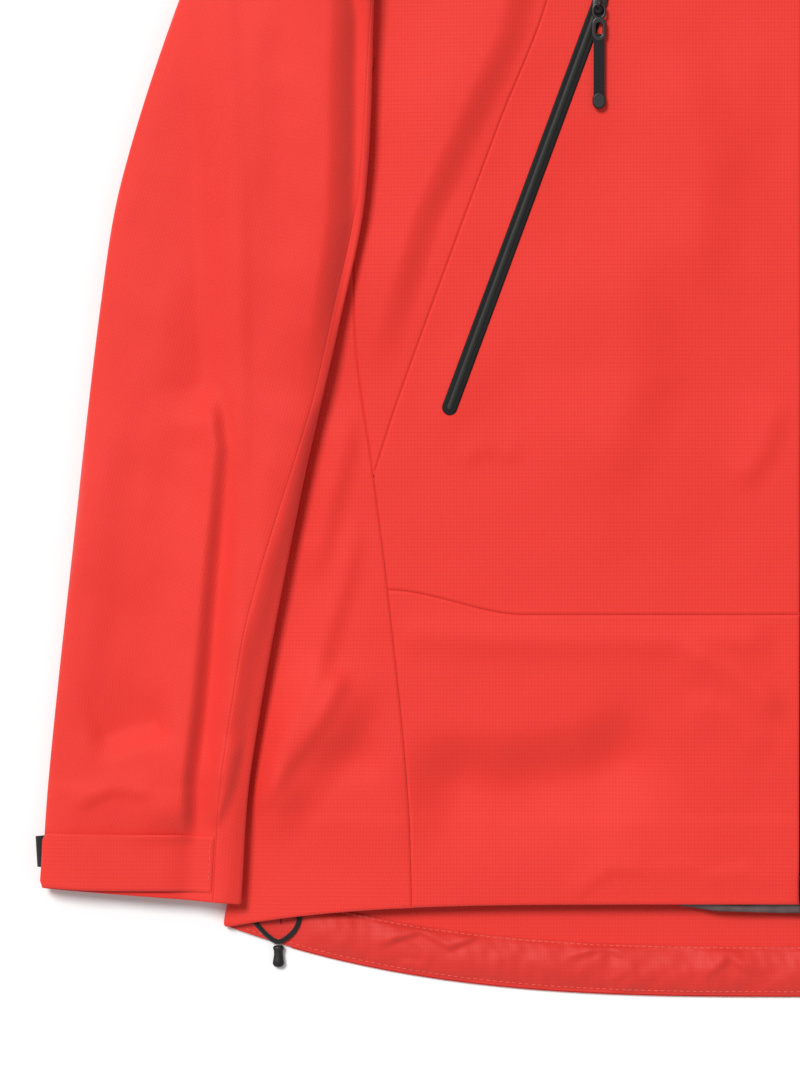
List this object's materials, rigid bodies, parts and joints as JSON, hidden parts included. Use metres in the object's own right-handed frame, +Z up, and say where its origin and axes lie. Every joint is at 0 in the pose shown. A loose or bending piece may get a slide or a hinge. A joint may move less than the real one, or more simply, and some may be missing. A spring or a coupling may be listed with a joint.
{
  "type": "hardshell jacket",
  "caption": "Waterproof hooded shell jacket laid flat on its back, zipped up, with hand pockets, cuff tabs, a dropped back hem and hem adjusters.",
  "frame": {"origin": "centre of the bounding box on the floor that the jacket lies on", "axes": "+X to the wearer's left, +Y towards the hood, +Z up out of the chest; the back lies on the floor"},
  "size_m": [0.7526, 1.0596, 0.0376],
  "materials": {
    "shell_cloth": "matt fine ripstop laminate, red",
    "inner_cloth": "smooth inner face of the laminate, red",
    "zip_tape": "satin laminated water-resistant zip, black",
    "slider_metal": "satin black paint",
    "moulded_trim": "moulded soft plastic, black",
    "elastic_cord": "braided elastic, black",
    "hook_and_loop": "napped hook and loop, black",
    "webbing": "woven tape, black",
    "grey_tape": "smooth bonded tape, grey"
  },
  "bodies": {
    "shell": {"front_upper_panel_right": "shell_cloth", "front_lower_panel_right": "shell_cloth", "front_side_panel_right": "shell_cloth", "side_panel_right": "shell_cloth", "collar_front_right": "shell_cloth", "pocket_zip_garage_right": "shell_cloth", "front_hem_facing_right": "inner_cloth", "pocket_bag_right": "inner_cloth", "hem_anchor_right": "hook_and_loop", "main_zip_tape_right": "zip_tape", "pocket_zip_strip_right": "zip_tape", "front_upper_panel_left": "shell_cloth", "front_lower_panel_left": "shell_cloth", "front_side_panel_left": "shell_cloth", "side_panel_left": "shell_cloth", "collar_front_left": "shell_cloth", "pocket_zip_garage_left": "shell_cloth", "front_hem_facing_left": "inner_cloth", "pocket_bag_left": "inner_cloth", "hem_anchor_left": "hook_and_loop", "main_zip_tape_left": "zip_tape", "pocket_zip_strip_left": "zip_tape", "back_panel": "shell_cloth", "back_yoke": "shell_cloth", "collar_back": "shell_cloth", "back_hem_facing": "inner_cloth", "wind_flap": "grey_tape", "main_zip_coil": "zip_tape", "hem_elastic": "elastic_cord", "hanger_loop": "webbing"},
    "sleeve_right": {"sleeve_upper_right": "shell_cloth", "sleeve_under_right": "shell_cloth", "cuff_facing_right": "inner_cloth", "cuff_loop_patch_right": "hook_and_loop"},
    "cuff_tab_right": {"cuff_tab_right": "shell_cloth", "cuff_hook_patch_right": "hook_and_loop"},
    "pocket_slider_right": {"pocket_zip_right_slider": "slider_metal"},
    "pocket_pull_right": {"pocket_zip_right_pull": "moulded_trim"},
    "hem_pull_right": {"hem_loop_right": "elastic_cord", "hem_pull_right": "moulded_trim"},
    "sleeve_left": {"sleeve_upper_left": "shell_cloth", "sleeve_under_left": "shell_cloth", "cuff_facing_left": "inner_cloth", "cuff_loop_patch_left": "hook_and_loop"},
    "cuff_tab_left": {"cuff_tab_left": "shell_cloth", "cuff_hook_patch_left": "hook_and_loop"},
    "pocket_slider_left": {"pocket_zip_left_slider": "slider_metal"},
    "pocket_pull_left": {"pocket_zip_left_pull": "moulded_trim"},
    "hem_pull_left": {"hem_loop_left": "elastic_cord", "hem_pull_left": "moulded_trim"},
    "hood": {"hood_centre_panel": "shell_cloth", "hood_side_right": "shell_cloth", "hood_side_left": "shell_cloth", "hood_crown_panel": "shell_cloth", "hood_brim": "shell_cloth"},
    "upper_slider": {"main_zip_upper_slider": "slider_metal"},
    "upper_pull": {"main_zip_upper_pull": "moulded_trim"},
    "lower_slider": {"main_zip_lower_slider": "slider_metal"},
    "lower_pull": {"main_zip_lower_pull": "moulded_trim"}
  },
  "joints": [
    {"name": "sleeve_swing_right", "type": "hinge", "parent": "shell", "child": "sleeve_right", "pos_m": [-0.214, 0.16, 0.01], "axis": [0, 0, -1], "range_deg": [0, 40]},
    {"name": "cuff_tab_lift_right", "type": "hinge", "parent": "sleeve_right", "child": "cuff_tab_right", "pos_m": [-0.2915, -0.463, 0.0204], "axis": [0, 1, 0], "range_deg": [0, 150]},
    {"name": "pocket_zip_slide_right", "type": "slide", "parent": "shell", "child": "pocket_slider_right", "axis": [-0.3471, -0.9374, -0.0272], "range_m": [0, 0.196]},
    {"name": "pocket_pull_lift_right", "type": "hinge", "parent": "pocket_slider_right", "child": "pocket_pull_right", "pos_m": [-0.10294, -0.04309, 0.02669], "axis": [-1, 0, 0], "range_deg": [0, 150]},
    {"name": "hem_pull_draw_right", "type": "slide", "parent": "shell", "child": "hem_pull_right", "axis": [0, -1, 0], "range_m": [0, 0.012]},
    {"name": "sleeve_swing_left", "type": "hinge", "parent": "shell", "child": "sleeve_left", "pos_m": [0.214, 0.16, 0.01], "axis": [0, 0, 1], "range_deg": [0, 40]},
    {"name": "cuff_tab_lift_left", "type": "hinge", "parent": "sleeve_left", "child": "cuff_tab_left", "pos_m": [0.2915, -0.463, 0.0204], "axis": [0, -1, 0], "range_deg": [0, 150]},
    {"name": "pocket_zip_slide_left", "type": "slide", "parent": "shell", "child": "pocket_slider_left", "axis": [0.3471, -0.9374, -0.0272], "range_m": [0, 0.196]},
    {"name": "pocket_pull_lift_left", "type": "hinge", "parent": "pocket_slider_left", "child": "pocket_pull_left", "pos_m": [0.10294, -0.04309, 0.02669], "axis": [-1, 0, 0], "range_deg": [0, 150]},
    {"name": "hem_pull_draw_left", "type": "slide", "parent": "shell", "child": "hem_pull_left", "axis": [0, -1, 0], "range_m": [0, 0.012]},
    {"name": "hood_fold", "type": "hinge", "parent": "shell", "child": "hood", "pos_m": [0, 0.289, 0.0319], "axis": [1, 0, 0], "range_deg": [0, 120]},
    {"name": "upper_zip_slide", "type": "slide", "parent": "shell", "child": "upper_slider", "axis": [0, -0.9997, -0.0257], "range_m": [0, 0.336]},
    {"name": "upper_pull_lift", "type": "hinge", "parent": "upper_slider", "child": "upper_pull", "pos_m": [0, 0.27591, 0.03492], "axis": [-1, 0, 0], "range_deg": [0, 150]},
    {"name": "lower_zip_slide", "type": "slide", "parent": "shell", "child": "lower_slider", "axis": [0, 0.9997, 0.0257], "range_m": [0, 0.33]},
    {"name": "lower_pull_lift", "type": "hinge", "parent": "lower_slider", "child": "lower_pull", "pos_m": [0, -0.47209, 0.01569], "axis": [-1, 0, 0], "range_deg": [0, 150]}
  ]
}
